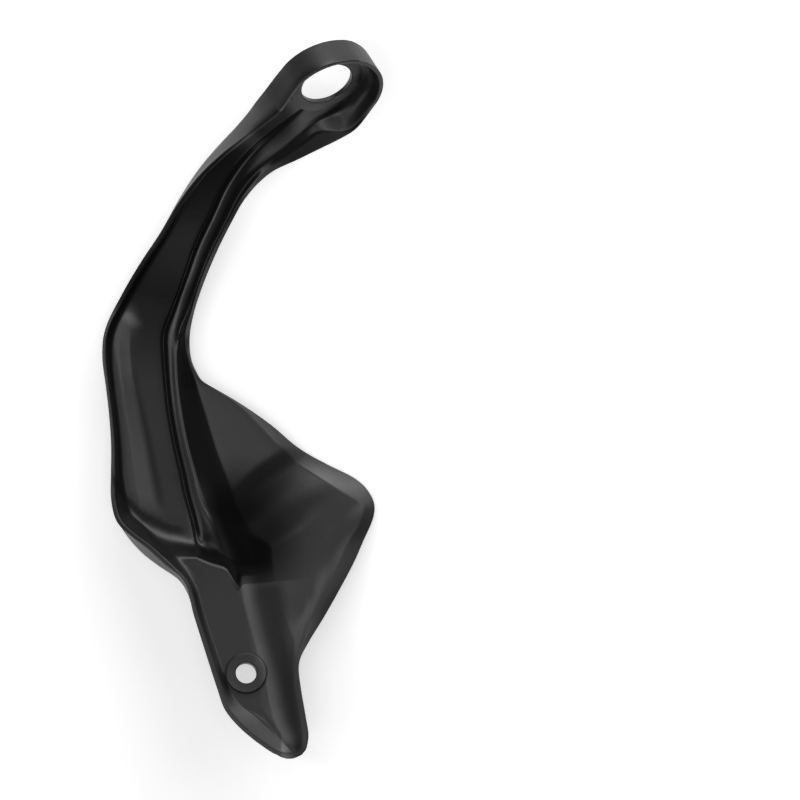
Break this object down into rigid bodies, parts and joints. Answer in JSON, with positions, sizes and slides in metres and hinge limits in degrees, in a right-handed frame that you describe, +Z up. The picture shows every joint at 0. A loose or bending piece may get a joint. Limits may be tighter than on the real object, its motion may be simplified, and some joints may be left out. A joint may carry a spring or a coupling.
{
  "type": "motorcycle hand guard",
  "caption": "Thin-walled plastic hand guard: a bar-end seat, a ribbed channel arm, a bent panel with a faceted wing round a deep pocket, and a tail with a bolt boss.",
  "frame": {"origin": "middle of the bounding box, on the plane the guard rests on when it lies on its convex back", "axes": "+Z up from that plane, towards the rider's side; +Y from the tail's tip to the bar-end seat; +X from the guard's outboard edge to its wing"},
  "size_m": [0.1178, 0.2892, 0.0578],
  "materials": {
    "black_plastic": "moulded black plastic, fine texture outside and satin inside"
  },
  "bodies": {
    "root": {"hand_guard": "black_plastic"}
  },
  "joints": []
}
